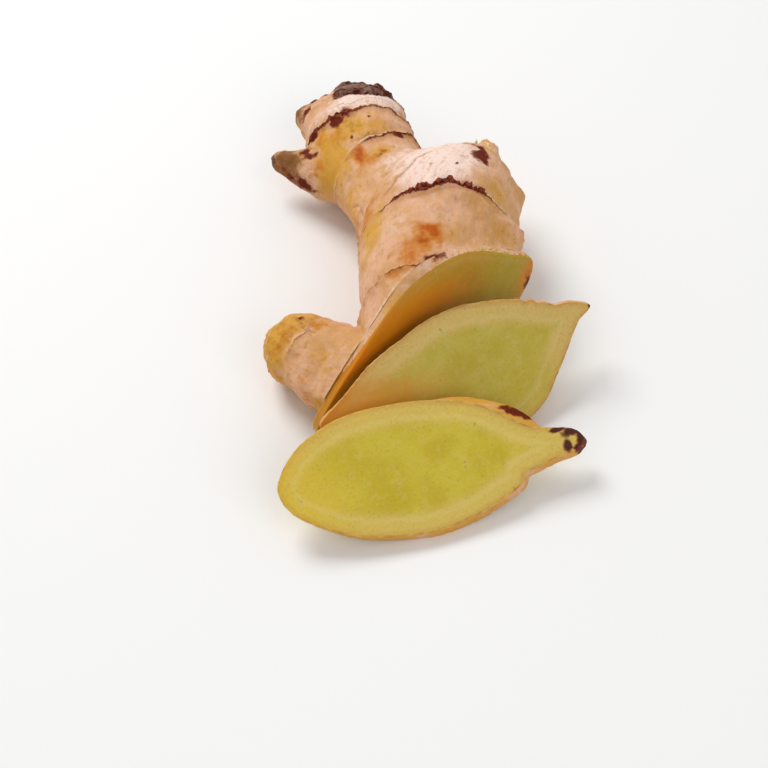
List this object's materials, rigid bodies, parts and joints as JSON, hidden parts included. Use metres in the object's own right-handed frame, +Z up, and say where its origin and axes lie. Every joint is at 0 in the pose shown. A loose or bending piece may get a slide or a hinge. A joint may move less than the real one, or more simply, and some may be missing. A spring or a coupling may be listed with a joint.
{
  "type": "ginger root",
  "caption": "Knobbly fresh ginger root lying on a table, with ringed skin, buds and a dried stem end, cut on a slant, its cut slices leaning in a fan on the cut face",
  "frame": {"origin": "on the table, under the middle of the box round the root and its slices", "axes": "+Z up; +Y along the trunk from the slices towards the dried stem end; +X towards the right ends of the slices, away from the side branch"},
  "size_m": [0.067, 0.1164, 0.0312],
  "materials": {
    "ginger_skin": "thin papery root skin, dull with a soft sheen",
    "ginger_flesh_inner": "moist cut root flesh",
    "ginger_flesh_middle": "moist cut root flesh",
    "ginger_flesh_front": "moist cut root flesh"
  },
  "bodies": {
    "root": {"rhizome": "ginger_skin", "slice_inner": "ginger_flesh_inner", "slice_middle": "ginger_flesh_middle", "slice_front": "ginger_flesh_front"}
  },
  "joints": []
}
